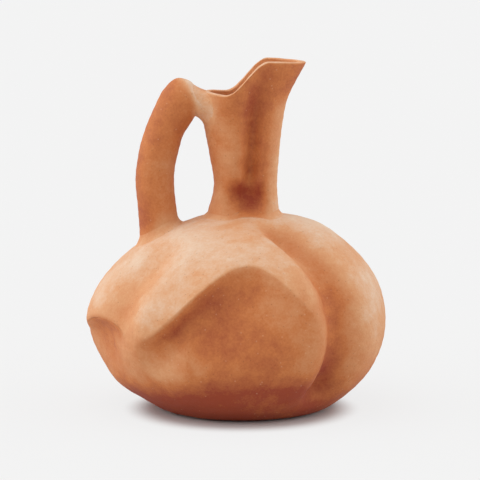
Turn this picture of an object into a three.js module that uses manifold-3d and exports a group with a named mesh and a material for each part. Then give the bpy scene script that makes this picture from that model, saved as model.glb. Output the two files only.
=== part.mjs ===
// A hand-folded earthenware pitcher: a belly turned on the wheel and dented while the clay was soft,
// a pinched neck with a beak spout, an oval handle, a floor disc, and the coils of soft clay that
// lute those pieces to each other.
// Millimetres, +Z up. The origin is the middle of the foot, +X is the way the spout pours, and the
// front, which has the largest dent, faces -Y.
import * as THREE from "three";
import { mergeVertices } from "three/addons/utils/BufferGeometryUtils.js";
import Module from "manifold-3d";

const wasm = await Module();
wasm.setup();

// Driving dimensions of the belly, an ellipse turned round the upright axis and cut flat at the foot
const BELLY_RADIUS = 77;
const BELLY_CENTRE = 48; // height of the widest ring above the table
const DOME_RISE = 56; // ellipse half height above the widest ring
const BOWL_DROP = 59; // ellipse half height below it, the end of which the foot cuts off
const BELLY_WALL = 5;

// Driving dimensions of the floor and of the hole that the neck stands over
const FLOOR_RADIUS = 38;
const FLOOR_THICKNESS = 7;
const NECK_BORE = 14.5; // radius of the hole in the dome

// Driving dimensions of the neck and spout, with reaches counted from the upright axis
const NECK_HEIGHT = 64; // from the dome to the level part of the rim
const NECK_WALL = 4;
const NECK_FOOT_RADIUS = 19.5; // where the neck stands on the dome
const NECK_WAIST_RADIUS = 15.8; // a quarter of the way up
const NECK_MIDDLE_RADIUS = 18.1; // half way up
const CHEEK_REACH = 20.9; // handle side, below the rim
const CHEEK_HALF_WIDTH = 18.5;
const RIM_HALF_WIDTH = 22.5;
const SPOUT_WAIST = 18.5; // the neck's spout side a quarter, half and three quarters of the way up
const SPOUT_MIDDLE = 20.1;
const SPOUT_THROAT = 23.2;
const SPOUT_REACH = 33.4; // tip of the beak
const SPOUT_RISE = 17.4; // from the level part of the rim to the highest part of the spout
const SPOUT_FROM = -10; // where the rim starts to climb to the spout
const SPOUT_TO = 14; // where it is highest
const BEAK_DROOP = 0.8; // how far the tip of the beak hangs below that
const CHEEK_RISE = 1; // how far the rim is drawn up where the handle is set on
const RIM_CROWN = 1.2; // how far the lip is rounded up between its two faces

// Marks that finger and thumb left in the neck: a valley below the spout on both sides, and a dimple
// where each valley ends just above the dome, the thumb's at the front
const PINCH_DEPTH = 8;
const PINCH_EASE = 0.75; // share of that depth lost at the rim
const PINCH_EDGE = 12; // half width in degrees round the neck, on the valley's steep side
const PINCH_SPREAD = 15; // and on its soft side, towards the spout
const PINCH_FOOT = 8; // azimuth of the valley at the dome
const PINCH_RIM = 18; // azimuth of the valley at the rim
const THUMB_DEPTH = 9;
const FINGER_DEPTH = 5.5;
const THUMB_RADIUS = 10;
const THUMB_HEIGHT = 7.5; // above the foot of the neck

// Driving dimensions of the handle
const HANDLE_THICKNESS = 21.3; // of the grip
const HANDLE_WIDTH = 23;
const HANDLE_REACH = 46.3; // from the upright axis to the middle of the grip

// Driving dimensions of the luting coils, coves of soft clay smeared into the corners
const NECK_COIL_SPREAD = 4;
const NECK_COIL_HEIGHT = 4;
const HANDLE_TOP_COIL_SPREAD = 5;
const HANDLE_TOP_COIL_HEIGHT = 8;
const HANDLE_FOOT_COIL_SPREAD = 5;
const HANDLE_FOOT_COIL_HEIGHT = 7;
const COIL_EDGE = 0.9; // thickness where a coil feathers out
const FLOOR_COIL_WIDTH = 11;
const FLOOR_COIL_HEIGHT = 4.5;

const SEAM = 0.3; // gap between pieces that are luted together
const EMBED = 6; // how far a piece runs past its seat before it is trimmed to it

// Folding of the belly. Places on it are given by azimuth, where 0 faces the front, 90 the spout, -90
// the handle and 180 the back, and by latitude seen from the middle of the widest ring, in degrees.
// The fold line runs round at one latitude and arches up over each dent.
const FOLD_LATITUDE = -3;
const ARCHES = [
  { from: -45, crown: 3, to: 46, rise: 33.5 },
  { from: -94, crown: -66, to: -46, rise: 6 },
  { from: 120, crown: 168, to: 214, rise: 27 },
];

// Below the fold line the wall drops in to the dent's floor, then comes out again to the dent's foot.
// The lip stands proud along the fold. The front was pressed twice, at the fold's left and its crown.
const FOLD_EDGE = 6; // least drop from fold to floor, in degrees
const FOLD_TURN = 2.6; // how sharply the wall turns in under the fold
const FLOOR_FOLLOW = 0.25; // share of the fold's rise that the dent's floor follows
const LIP_WIDTH = 12; // degrees above the fold over which the lip rises
const DENTS = [
  { from: -45, deepest: -22, to: 24, depth: 8.5, lip: 1.5, floor: 2, foot: -20 },
  { from: -24, deepest: 6, to: 36, depth: 7, lip: 1, floor: -4, foot: -38 },
  { from: -92, deepest: -72, to: -48, depth: 6, lip: 2, floor: -8, foot: -26 },
  { from: 120, deepest: 176, to: 214, depth: 11, lip: 2.5, floor: -3, foot: -38 },
];

// Lobes pushed out from inside: the beak of the front fold, the left fold, and full sides
const LOBES = [
  { azimuth: -44, latitude: 5, wide: 9, tall: 13, height: 4 },
  { azimuth: -88, latitude: 1, wide: 24, tall: 20, height: 4.4 },
  { azimuth: -92, latitude: -24, wide: 34, tall: 26, height: 3 },
  { azimuth: 88, latitude: 54, wide: 40, tall: 16, height: 2.5 },
  { azimuth: 88, latitude: 0, wide: 36, tall: 14, height: 0.8 },
];

// Grooves that run down the belly, bowed by lean away from the widest ring. Their half widths are in
// degrees at the widest ring.
const GROOVES = [
  { waist: 42.5, lean: -12, depth: 10, left: 7, right: 10, from: -50, to: 72 },
  { waist: -52, lean: 7, depth: 5.5, left: 12, right: 9, from: -12, to: 50 },
  { waist: -128, lean: 8, depth: 6, left: 9, right: 9, from: -40, to: 66 },
];
const GROOVE_FADE = 24; // degrees over which a groove fades at its ends
const FOOT_FADE = 14; // degrees above the floor over which all relief sets in

// How finely each piece is faceted
const BELLY_SEGMENTS = 78;
const NECK_SEGMENTS = 48;
const HANDLE_SIDES = 16;
const HANDLE_STEPS = 22;
const LATHE_SEGMENTS = 48;

const { clamp, degToRad, lerp, radToDeg, smoothstep } = THREE.MathUtils;
const UP = new THREE.Vector3(0, 0, 1);

// Clay: one body fired to slightly different colours by thickness and place in the kiln
const clay = () => new THREE.MeshStandardMaterial({ color: 0xc98558, roughness: 0.85, metalness: 0 });
const paleClay = () => new THREE.MeshStandardMaterial({ color: 0xd39a6c, roughness: 0.88, metalness: 0 });
const redClay = () => new THREE.MeshStandardMaterial({ color: 0xb26a42, roughness: 0.82, metalness: 0 });

// An azimuth brought into -180 to 180 degrees
function wrapped(azimuth) {
  return THREE.MathUtils.euclideanModulo(azimuth + 180, 360) - 180;
}

// A height's point at a distance from the upright axis
function polar(azimuth, radius, height) {
  const turn = degToRad(azimuth);
  return new THREE.Vector3(radius * Math.sin(turn), -radius * Math.cos(turn), height);
}

// 1 at a peak, falling to 0 at the azimuths on either side of it
function swell(azimuth, from, peak, to) {
  const turn = wrapped(azimuth - peak);
  const share = turn < 0 ? turn / (from - peak) : turn / (to - peak);
  return share < 1 ? Math.cos((share * Math.PI) / 2) : 0;
}

// A closed surface through rings of equal count. A loop joins the last ring to the first, and
// otherwise both ends are capped.
function loft(rings, loop = false) {
  const count = rings[0].length;
  const points = rings.flat();
  const faces = [];
  const spans = loop ? rings.length : rings.length - 1;
  for (let row = 0; row < spans; row++) {
    const low = row * count;
    const high = ((row + 1) % rings.length) * count;
    for (let side = 0; side < count; side++) {
      const next = (side + 1) % count;
      faces.push(low + side, low + next, high + next, low + side, high + next, high + side);
    }
  }
  if (!loop) {
    const last = (rings.length - 1) * count;
    for (const [ring, start, flip] of [[rings[0], 0, true], [rings.at(-1), last, false]]) {
      const middle = points.length;
      points.push(ring.reduce((sum, p) => sum.add(p), new THREE.Vector3()).divideScalar(count));
      for (let side = 0; side < count; side++) {
        const pair = [start + side, start + ((side + 1) % count)];
        faces.push(middle, ...(flip ? pair.reverse() : pair));
      }
    }
  }
  const geometry = new THREE.BufferGeometry().setFromPoints(points);
  geometry.setIndex(faces);
  return geometry;
}

// A closed geometry as a solid that can be cut and joined
function solid(geometry) {
  geometry.deleteAttribute("normal");
  geometry.deleteAttribute("uv");
  const merged = mergeVertices(geometry, 1e-4);
  const mesh = new wasm.Mesh({
    numProp: 3,
    vertProperties: new Float32Array(merged.attributes.position.array),
    triVerts: new Uint32Array(merged.index.array),
  });
  return new wasm.Manifold(mesh);
}

// A solid back as a geometry
function shaped(body) {
  const { vertProperties, triVerts } = body.getMesh();
  const geometry = new THREE.BufferGeometry();
  geometry.setAttribute("position", new THREE.BufferAttribute(vertProperties, 3));
  geometry.setIndex(new THREE.BufferAttribute(triVerts, 1));
  geometry.computeVertexNormals();
  return geometry;
}

// Evenly spaced azimuths of one ring
function azimuths(segments) {
  return Array.from({ length: segments }, (_, side) => (360 * side) / segments - 180);
}

// Belly

// Radius of the turned ellipse at a height, inset from its outer face
function ellipseRadius(height, inset = 0) {
  const half = (height > BELLY_CENTRE ? DOME_RISE : BOWL_DROP) - inset;
  return (BELLY_RADIUS - inset) * Math.sqrt(1 - ((height - BELLY_CENTRE) / half) ** 2);
}

// Height of the dome at a distance from the upright axis
function domeHeight(radius, inset = 0) {
  const share = radius / (BELLY_RADIUS - inset);
  return BELLY_CENTRE + (DOME_RISE - inset) * Math.sqrt(Math.max(1 - share * share, 0));
}

// Latitude of a point of the turned ellipse, seen from the middle of the widest ring
function latitudeOf(radius, height) {
  return radToDeg(Math.atan2(height - BELLY_CENTRE, radius));
}

const FOOT_LATITUDE = latitudeOf(ellipseRadius(0), 0);
const FLOOR_LATITUDE = latitudeOf(ellipseRadius(FLOOR_THICKNESS, BELLY_WALL), FLOOR_THICKNESS);
const HOLE_LATITUDE = latitudeOf(NECK_BORE, domeHeight(NECK_BORE));

function foldLatitude(azimuth) {
  const raise = ({ from, crown, to, rise }) => rise * swell(azimuth, from, crown, to) ** 2;
  return ARCHES.reduce((latitude, arch) => latitude + raise(arch), FOLD_LATITUDE);
}

// How far one dent pushes the wall in. Its right end runs out softly.
function dentPush(dent, azimuth, latitude, widened) {
  const fold = foldLatitude(azimuth) + widened;
  const floor = Math.min(dent.floor + FLOOR_FOLLOW * (fold - FOLD_LATITUDE), fold - FOLD_EDGE);
  const above = (1 - clamp((fold - latitude) / (fold - floor), 0, 1)) ** FOLD_TURN;
  const fade = 1 - smoothstep(floor - latitude, 0, floor - dent.foot + widened);
  const lip = latitude > fold ? Math.exp(-(((latitude - fold) / LIP_WIDTH) ** 2)) : above;
  const share = swell(azimuth, dent.from, dent.deepest, dent.to);
  const soft = wrapped(azimuth - dent.deepest) > 0 ? share * share : share;
  return soft * (dent.depth * (1 - above) * fade - dent.lip * lip);
}

function lobePush(lobe, azimuth, latitude, widened) {
  const across = wrapped(azimuth - lobe.azimuth) / (lobe.wide - widened);
  const up = (latitude - lobe.latitude) / (lobe.tall - widened);
  return -lobe.height * Math.exp(-across * across - up * up);
}

function groovePush(groove, azimuth, latitude, widened) {
  const turn = wrapped(azimuth - groove.waist - groove.lean * (latitude / 60) ** 2);
  const width = (turn < 0 ? groove.left : groove.right) + widened;
  const across = (turn * Math.cos(degToRad(latitude))) / width;
  const foot = smoothstep(latitude, groove.from, groove.from + GROOVE_FADE);
  const top = 1 - smoothstep(latitude, groove.to - GROOVE_FADE, groove.to);
  return groove.depth * Math.exp(-across * across) * foot * top;
}

// How far the wall is pushed in at a place. An inset face has the same relief, widened by the inset,
// so that the wall keeps its thickness.
function relief(azimuth, latitude, inset) {
  const widened = radToDeg(inset / BELLY_RADIUS);
  const total = (items, push) =>
    items.reduce((sum, item) => sum + push(item, azimuth, latitude, widened), 0);
  const above = smoothstep(latitude, FLOOR_LATITUDE, FLOOR_LATITUDE + FOOT_FADE);
  return above * (total(DENTS, dentPush) + total(LOBES, lobePush) + total(GROOVES, groovePush));
}

function bellyPoint(azimuth, latitude, inset) {
  const turn = degToRad(latitude);
  const across = BELLY_RADIUS - inset;
  const half = (latitude > 0 ? DOME_RISE : BOWL_DROP) - inset;
  const ellipse = (across * half) / Math.hypot(half * Math.cos(turn), across * Math.sin(turn));
  const radius = ellipse - relief(azimuth, latitude, inset);
  return polar(azimuth, radius * Math.cos(turn), BELLY_CENTRE + radius * Math.sin(turn));
}

// Rings of one face of the belly, from latitude foot to latitude top, with a row along the fold and
// the others gathered towards it
function bellyRings(inset, foot, top, rowsBelow, rowsAbove) {
  const shares = [];
  for (let row = rowsBelow; row >= 1; row--) shares.push(-((row / rowsBelow) ** 1.7));
  for (let row = 0; row <= rowsAbove; row++) shares.push((row / rowsAbove) ** 1.3);
  return shares.map((share) =>
    azimuths(BELLY_SEGMENTS).map((azimuth) => {
      const fold = foldLatitude(azimuth);
      const latitude = share < 0 ? lerp(fold, foot, -share) : lerp(fold, top, share);
      return bellyPoint(azimuth, latitude, inset);
    }),
  );
}

function flatRing(radius, height) {
  return azimuths(BELLY_SEGMENTS).map((azimuth) => polar(azimuth, radius, height));
}

// The belly's outer face filled in, grown by a gap: what the pieces that stand on it are trimmed to
function bellyFilled(gap) {
  const nearTop = latitudeOf(1, domeHeight(1));
  return solid(loft(bellyRings(-gap, FOOT_LATITUDE, nearTop, 10, 14)));
}

function makeBelly() {
  const holeInside = latitudeOf(NECK_BORE, domeHeight(NECK_BORE, BELLY_WALL));
  const outside = bellyRings(0, FOOT_LATITUDE, HOLE_LATITUDE, 11, 10);
  const inside = bellyRings(BELLY_WALL, FLOOR_LATITUDE, holeInside, 8, 7).reverse();
  const socket = FLOOR_RADIUS + SEAM;
  return loft([...outside, ...inside, flatRing(socket, FLOOR_THICKNESS), flatRing(socket, 0)], true);
}

// Floor: a disc that plugs the open bottom of the belly, and the coil pressed over its joint inside

function makeFloor() {
  const outline = new THREE.Path().moveTo(0, 0).lineTo(FLOOR_RADIUS, 0);
  outline.lineTo(FLOOR_RADIUS, FLOOR_THICKNESS).lineTo(0, FLOOR_THICKNESS);
  return new THREE.LatheGeometry(outline.getPoints(), LATHE_SEGMENTS).rotateX(Math.PI / 2);
}

function makeFloorCoil() {
  const seat = FLOOR_THICKNESS + SEAM;
  const half = FLOOR_COIL_WIDTH / 2;
  const outline = new THREE.Path().moveTo(FLOOR_RADIUS + half, seat);
  outline.absellipse(FLOOR_RADIUS, seat, half, FLOOR_COIL_HEIGHT, 0, Math.PI);
  const profile = [...outline.getPoints(4), new THREE.Vector2(FLOOR_RADIUS + half, seat)];
  return new THREE.LatheGeometry(profile, LATHE_SEGMENTS).rotateX(Math.PI / 2);
}

// Neck and spout

const NECK_FOOT = domeHeight(NECK_FOOT_RADIUS);
const RIM = NECK_FOOT + NECK_HEIGHT;

// Reaches of the neck towards the handle, towards the spout and to the sides, from dome to rim
const NECK_OUTLINE = new THREE.CatmullRomCurve3([
  new THREE.Vector3(NECK_FOOT_RADIUS, NECK_FOOT_RADIUS, NECK_FOOT_RADIUS),
  new THREE.Vector3(NECK_WAIST_RADIUS, SPOUT_WAIST, NECK_WAIST_RADIUS),
  new THREE.Vector3(NECK_MIDDLE_RADIUS, SPOUT_MIDDLE, NECK_MIDDLE_RADIUS),
  new THREE.Vector3(CHEEK_REACH, SPOUT_THROAT, CHEEK_HALF_WIDTH),
  new THREE.Vector3(CHEEK_REACH, SPOUT_REACH, RIM_HALF_WIDTH),
]);

// Both sides of the neck match, so a place at the back takes the shape of its mirror at the front
function facingFront(azimuth) {
  if (azimuth > 90) return 180 - azimuth;
  return azimuth < -90 ? -180 - azimuth : azimuth;
}

function rimHeight(front) {
  const x = (front > 0 ? SPOUT_REACH : CHEEK_REACH) * Math.sin(degToRad(front));
  const climb = SPOUT_RISE * smoothstep(x, SPOUT_FROM, SPOUT_TO);
  const cheek = CHEEK_RISE * smoothstep(-x, -SPOUT_FROM, CHEEK_REACH);
  return RIM + climb + cheek - BEAK_DROOP * smoothstep(x, SPOUT_TO, SPOUT_REACH);
}

// A place on the neck, share of the way from the dome (0) to the rim (1), inset from its outer face
function neckPoint(azimuth, share, inset) {
  const front = facingFront(azimuth);
  const turn = degToRad(front);
  const reach = NECK_OUTLINE.getPoint(Math.max(share, 0));
  const height = lerp(NECK_FOOT, rimHeight(front), share);
  const x = ((front > 0 ? reach.y : reach.x) - inset) * Math.sin(turn);
  const valley = lerp(PINCH_FOOT, PINCH_RIM, share);
  const spread = (front < valley ? PINCH_EDGE : PINCH_SPREAD) + radToDeg(inset / reach.z);
  const across = (front - valley) / spread;
  const eased = smoothstep(share, 0.05, 0.4) * (1 - PINCH_EASE * smoothstep(share, 0.5, 1));
  const pinch = PINCH_DEPTH * eased * Math.exp(-across * across);
  const aside = degToRad(front - PINCH_FOOT) * reach.z;
  const above = height - NECK_FOOT - THUMB_HEIGHT;
  const press = Math.abs(azimuth) > 90 ? FINGER_DEPTH : THUMB_DEPTH;
  const printReach = (aside * aside + above * above) / (THUMB_RADIUS + inset) ** 2;
  const thumb = press * Math.exp(-printReach * printReach);
  const half = (reach.z - inset - Math.hypot(pinch, thumb)) * Math.cos(turn);
  return new THREE.Vector3(x, Math.abs(azimuth) > 90 ? half : -half, height);
}

function neckRing(share, inset) {
  return azimuths(NECK_SEGMENTS).map((azimuth) => neckPoint(azimuth, share, inset));
}

const raised = (ring, lift) => ring.map((point) => point.clone().addScaledVector(UP, lift));

// Rings of one face of the neck from below the dome's surface up to the rim
function neckRings(inset, rows) {
  const rings = [raised(neckRing(0, inset), -EMBED)];
  for (let row = 0; row <= rows; row++) rings.push(neckRing(row / rows, inset));
  return rings;
}

// The neck's outer face filled in, grown by a gap and carried on above the rim
function neckFilled(gap) {
  const rings = neckRings(-gap, 13);
  return solid(loft([...rings, raised(rings.at(-1), HANDLE_THICKNESS)]));
}

function makeNeck() {
  const outside = neckRings(0, 13);
  const inside = neckRings(NECK_WALL, 10).reverse();
  const lip = raised(neckRing(1, NECK_WALL / 2), RIM_CROWN);
  return shaped(solid(loft([...outside, lip, ...inside], true)).subtract(bellyFilled(SEAM)));
}

// Handle: an oval strap from just below the rim, over a bend, and down to the dome

// How far the neck reaches towards the handle, at a place across it and a height
function neckReach(across, height) {
  const reach = NECK_OUTLINE.getPoint(clamp((height - NECK_FOOT) / NECK_HEIGHT, 0, 1));
  return reach.x * Math.sqrt(Math.max(1 - (across / reach.z) ** 2, 0));
}

// Both ends run on until the whole width of their coil lies inside the neck and the dome
const HANDLE_FOOT = domeHeight(HANDLE_REACH);
const ROOT_FLANK = neckReach(HANDLE_WIDTH / 2 + HANDLE_TOP_COIL_SPREAD, RIM);
const ROOT_EMBED = CHEEK_REACH - ROOT_FLANK + EMBED;
const FOOT_EDGE = domeHeight(HANDLE_REACH + HANDLE_THICKNESS / 2 + HANDLE_FOOT_COIL_SPREAD);
const FOOT_EMBED = HANDLE_FOOT - FOOT_EDGE + EMBED;

// Its sections from root to foot: share of the way out from the neck to the grip, share of the neck's
// height below the rim, lean in degrees, and thickness as a share of the grip's
const HANDLE_SECTIONS = [
  [-ROOT_EMBED / (HANDLE_REACH - CHEEK_REACH), 0.12, 90, 0.74],
  [0.05, 0.082, 90, 0.74],
  [0.235, 0.03, 78, 0.95],
  [0.4, 0.045, 69, 1.17],
  [0.57, 0.116, 57, 1.14],
  [0.71, 0.226, 45, 1.04],
  [0.83, 0.356, 31, 1],
  [0.95, 0.53, 21, 1],
  [1, 0.745, 8, 1],
  [0.96, (RIM - HANDLE_FOOT - EMBED) / NECK_HEIGHT, 0, 1],
  [0.95, (RIM - HANDLE_FOOT + FOOT_EMBED) / NECK_HEIGHT, 0, 1],
];

// A curve along the handle through the same place of each section: 1 is its outer edge, 0 its middle
// and -1 its inner edge
function alongHandle(place) {
  const points = HANDLE_SECTIONS.map(([out, below, lean, thick]) => {
    const half = (place * thick * HANDLE_THICKNESS) / 2;
    const turn = degToRad(lean);
    const x = -lerp(CHEEK_REACH, HANDLE_REACH, out) - half * Math.cos(turn);
    return new THREE.Vector3(x, 0, RIM - NECK_HEIGHT * below + half * Math.sin(turn));
  });
  return new THREE.CatmullRomCurve3(points);
}

const HANDLE_SPINE = alongHandle(0);
const HANDLE_OUTSIDE = alongHandle(1);
const HANDLE_INSIDE = alongHandle(-1);
const HANDLE_LENGTH = HANDLE_SPINE.getLength();
const HANDLE_TURNS = Array.from({ length: HANDLE_SIDES }, (_, side) => (2 * Math.PI * side) / HANDLE_SIDES);

// A place on the handle, by the turn round its oval from the outer edge and by the distance along its
// spine, grown by a gap
function handlePoint(turn, distance, gap) {
  const station = HANDLE_SPINE.getUtoTmapping(clamp(distance / HANDLE_LENGTH, 0, 1));
  const outer = HANDLE_OUTSIDE.getPoint(station);
  const middle = HANDLE_INSIDE.getPoint(station).lerp(outer, 0.5);
  const across = outer.sub(middle);
  across.setLength(across.length() + gap);
  const point = middle.addScaledVector(across, Math.cos(turn));
  point.y = (HANDLE_WIDTH / 2 + gap) * Math.sin(turn);
  return point;
}

function handleFilled(gap) {
  const rings = [];
  for (let step = 0; step <= HANDLE_STEPS; step++) {
    const distance = (HANDLE_LENGTH * step) / HANDLE_STEPS;
    rings.push(HANDLE_TURNS.map((turn) => handlePoint(turn, distance, gap)));
  }
  return solid(loft(rings));
}

function makeHandle() {
  return shaped(handleFilled(0).subtract(neckFilled(SEAM)).subtract(bellyFilled(SEAM)));
}

// Luting coils: coves that spread where they meet the seat and feather out along the piece

// Thickness of a cove at a distance from its seat
function cove(distance, spread, height) {
  const share = clamp(1 - distance / height, 0, 1);
  return lerp(COIL_EDGE, spread, share * share);
}

function makeNeckCoil() {
  const rows = 5;
  const rings = [raised(neckRing(0, -NECK_COIL_SPREAD), -EMBED)];
  for (let row = 0; row <= rows; row++) {
    const height = (NECK_COIL_HEIGHT * row) / rows;
    rings.push(neckRing(height / NECK_HEIGHT, -cove(height, NECK_COIL_SPREAD, NECK_COIL_HEIGHT)));
  }
  return shaped(solid(loft(rings)).subtract(neckFilled(SEAM)).subtract(bellyFilled(SEAM)));
}

// Rings of a coil round one end of the handle, from inside its seat to where it feathers out. A place
// is given by the turn round the handle, the coil's thickness and the distance from the seat.
function handleCoilRings(place, spread, height) {
  const rows = 5;
  const rings = [HANDLE_TURNS.map((turn) => place(turn, spread, -EMBED))];
  for (let row = 0; row <= rows; row++) {
    const distance = (height * row) / rows;
    rings.push(HANDLE_TURNS.map((turn) => place(turn, cove(distance, spread, height), distance)));
  }
  return rings;
}

// The coil's thickness dies out on top of the handle, where it is wiped level with the rim
function besideNeck(turn, thickness, distance) {
  const gap = lerp(thickness, COIL_EDGE, Math.max(Math.cos(turn), 0));
  const end = handlePoint(turn, 0, gap);
  const seat = neckReach(end.y, end.z) + end.x;
  return handlePoint(turn, seat + distance, gap);
}

function makeHandleTopCoil() {
  const rings = handleCoilRings(besideNeck, HANDLE_TOP_COIL_SPREAD, HANDLE_TOP_COIL_HEIGHT);
  return shaped(solid(loft(rings)).subtract(handleFilled(SEAM)).subtract(neckFilled(SEAM)));
}

function aboveDome(turn, thickness, distance) {
  const end = handlePoint(turn, HANDLE_LENGTH, thickness);
  const seat = domeHeight(Math.hypot(end.x, end.y)) - end.z;
  return handlePoint(turn, HANDLE_LENGTH - seat - distance, thickness);
}

function makeHandleFootCoil() {
  const rings = handleCoilRings(aboveDome, HANDLE_FOOT_COIL_SPREAD, HANDLE_FOOT_COIL_HEIGHT);
  return shaped(solid(loft(rings.reverse())).subtract(handleFilled(SEAM)).subtract(bellyFilled(SEAM)));
}

// The pieces, in the order in which they are put together
const pitcher = new THREE.Group();
pitcher.name = "pitcher";
for (const [name, geometry, material] of [
  ["belly", makeBelly(), clay()],
  ["floor_disc", makeFloor(), redClay()],
  ["floor_luting_coil", makeFloorCoil(), redClay()],
  ["neck", makeNeck(), clay()],
  ["neck_luting_coil", makeNeckCoil(), paleClay()],
  ["handle", makeHandle(), clay()],
  ["handle_top_luting_coil", makeHandleTopCoil(), paleClay()],
  ["handle_foot_luting_coil", makeHandleFootCoil(), paleClay()],
]) {
  const piece = new THREE.Mesh(geometry, material);
  piece.name = name;
  pitcher.add(piece);
}

export default pitcher;
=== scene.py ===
import math

import bpy
import numpy as np
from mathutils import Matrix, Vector, noise


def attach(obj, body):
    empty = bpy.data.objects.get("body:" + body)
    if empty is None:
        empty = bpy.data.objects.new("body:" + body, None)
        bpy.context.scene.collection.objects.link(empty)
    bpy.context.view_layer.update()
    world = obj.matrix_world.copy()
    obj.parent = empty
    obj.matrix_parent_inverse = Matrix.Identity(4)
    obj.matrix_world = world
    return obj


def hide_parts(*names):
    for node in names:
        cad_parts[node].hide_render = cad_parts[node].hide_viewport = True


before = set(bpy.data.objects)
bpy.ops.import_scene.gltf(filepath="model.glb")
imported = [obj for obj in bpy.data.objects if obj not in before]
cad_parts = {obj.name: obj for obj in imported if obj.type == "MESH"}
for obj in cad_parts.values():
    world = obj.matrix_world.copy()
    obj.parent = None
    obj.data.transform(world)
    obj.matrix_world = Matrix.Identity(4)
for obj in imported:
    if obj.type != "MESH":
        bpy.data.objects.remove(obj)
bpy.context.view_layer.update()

# Belly: a ball of earthenware turned on the wheel, left open at top and bottom, and folded by hand
# while the clay was soft. Each dent is pressed in under a fold, and furrows run down beside it.
# It is fired without glaze. Painted shade makes it redder in the hollows, and painted light
# makes it paler where the wall stands proud.
MM = 0.001  # lengths here are millimetres, and Blender's are metres
BELLY_RADIUS = 77
BELLY_CENTRE = 48
DOME_RISE = 56
BOWL_DROP = 59
BELLY_WALL = 5
FOOT_ROUND = 2.2
FLOOR_RADIUS = 38
FLOOR_THICKNESS = 7
NECK_BORE = 14.5
SEAM = 0.3

# Places on the wall are an azimuth, where 0 faces the front, 90 the spout and -90 the handle, and a
# latitude seen from the middle of the widest ring, both in degrees.
FOLD_LATITUDE = -3
FOLD_EDGE = 6
FOLD_TURN = 2.6
FOLD_ROUND = 0.8
FOLD_STEPS = 2
FLOOR_FOLLOW = 0.25
LIP_WIDTH = 12
GROOVE_FADE = 24
GROOVE_LEAN_LATITUDE = 60
FOOT_FADE = 14
ARCHES = [
    {"start": -45, "crown": 3, "end": 46, "rise": 33.5},
    {"start": -94, "crown": -66, "end": -46, "rise": 6},
    {"start": 120, "crown": 168, "end": 214, "rise": 27},
]
DENTS = [
    {"start": -45, "deepest": -22, "end": 24, "depth": 8.5, "lip": 1.5, "floor": 2, "foot": -20},
    {"start": -24, "deepest": 6, "end": 36, "depth": 7, "lip": 1, "floor": -4, "foot": -38},
    {"start": -92, "deepest": -72, "end": -48, "depth": 6, "lip": 2, "floor": -8, "foot": -26},
    {"start": 120, "deepest": 176, "end": 214, "depth": 11, "lip": 2.5, "floor": -3, "foot": -38},
]
# Lobes stand proud by their height. The last is a flat that a palm pressed, so its height is below 0
LOBES = [
    {"azimuth": -44, "latitude": 5, "wide": 9, "tall": 13, "height": 4},
    {"azimuth": -88, "latitude": 1, "wide": 24, "tall": 20, "height": 4.4},
    {"azimuth": -92, "latitude": -24, "wide": 34, "tall": 26, "height": 3},
    {"azimuth": 88, "latitude": 54, "wide": 40, "tall": 16, "height": 2.5},
    {"azimuth": 88, "latitude": 5, "wide": 36, "tall": 16, "height": -1},
]
GROOVES = [
    {"waist": 42.5, "lean": -12, "depth": 10, "left": 7, "right": 10, "foot": -50, "top": 72},
    {"waist": -52, "lean": 7, "depth": 5.5, "left": 12, "right": 9, "foot": -12, "top": 50},
    {"waist": -128, "lean": 8, "depth": 6, "left": 9, "right": 9, "foot": -40, "top": 66},
]


def smoothstep(value, low, high):
    share = np.clip((value - low) / (high - low), 0, 1)
    return share * share * (3 - 2 * share)


def wrapped(azimuth):
    return (azimuth + 180) % 360 - 180


def swell(azimuth, start, peak, end):
    """1 at the peak, falling to 0 at the azimuths on either side of it."""
    turn = wrapped(azimuth - peak)
    share = np.where(turn < 0, turn / (start - peak), turn / (end - peak))
    return np.cos(np.minimum(share, 1) * math.pi / 2)


def fold_latitude(azimuth):
    latitude = FOLD_LATITUDE
    for arch in ARCHES:
        latitude = latitude + arch["rise"] * swell(azimuth, arch["start"], arch["crown"], arch["end"]) ** 2
    return latitude


def dent_push(dent, azimuth, latitude, widened):
    fold = fold_latitude(azimuth) + widened
    floor = np.minimum(dent["floor"] + FLOOR_FOLLOW * (fold - FOLD_LATITUDE), fold - FOLD_EDGE)
    above = (1 - np.clip((fold - latitude) / (fold - floor), 0, 1)) ** FOLD_TURN
    fade = 1 - smoothstep(floor - latitude, 0, floor - dent["foot"] + widened)
    lip = np.where(latitude > fold, np.exp(-(((latitude - fold) / LIP_WIDTH) ** 2)), above)
    share = swell(azimuth, dent["start"], dent["deepest"], dent["end"])
    share = np.where(wrapped(azimuth - dent["deepest"]) > 0, share * share, share)
    return share * (dent["depth"] * (1 - above) * fade - dent["lip"] * lip)


def blot(mark, azimuth, latitude, widened=0):
    """1 in the middle of a mark on the wall, fading away over its width and height."""
    across = wrapped(azimuth - mark["azimuth"]) / (mark["wide"] - widened)
    up = (latitude - mark["latitude"]) / (mark["tall"] - widened)
    return np.exp(-across * across - up * up)


def lobe_push(lobe, azimuth, latitude, widened):
    return -lobe["height"] * blot(lobe, azimuth, latitude, widened)


def groove_push(groove, azimuth, latitude, widened):
    lean = groove["lean"] * (latitude / GROOVE_LEAN_LATITUDE) ** 2
    turn = wrapped(azimuth - groove["waist"] - lean)
    width = np.where(turn < 0, groove["left"], groove["right"]) + widened
    across = turn * np.cos(np.radians(latitude)) / width
    foot = smoothstep(latitude, groove["foot"], groove["foot"] + GROOVE_FADE)
    top = 1 - smoothstep(latitude, groove["top"] - GROOVE_FADE, groove["top"])
    return groove["depth"] * np.exp(-across * across) * foot * top


def latitude_of(radius, height):
    return math.degrees(math.atan2(height - BELLY_CENTRE, radius))


def bowl_radius(height, inset):
    return (BELLY_RADIUS - inset) * math.sqrt(1 - ((BELLY_CENTRE - height) / (BOWL_DROP - inset)) ** 2)


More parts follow.
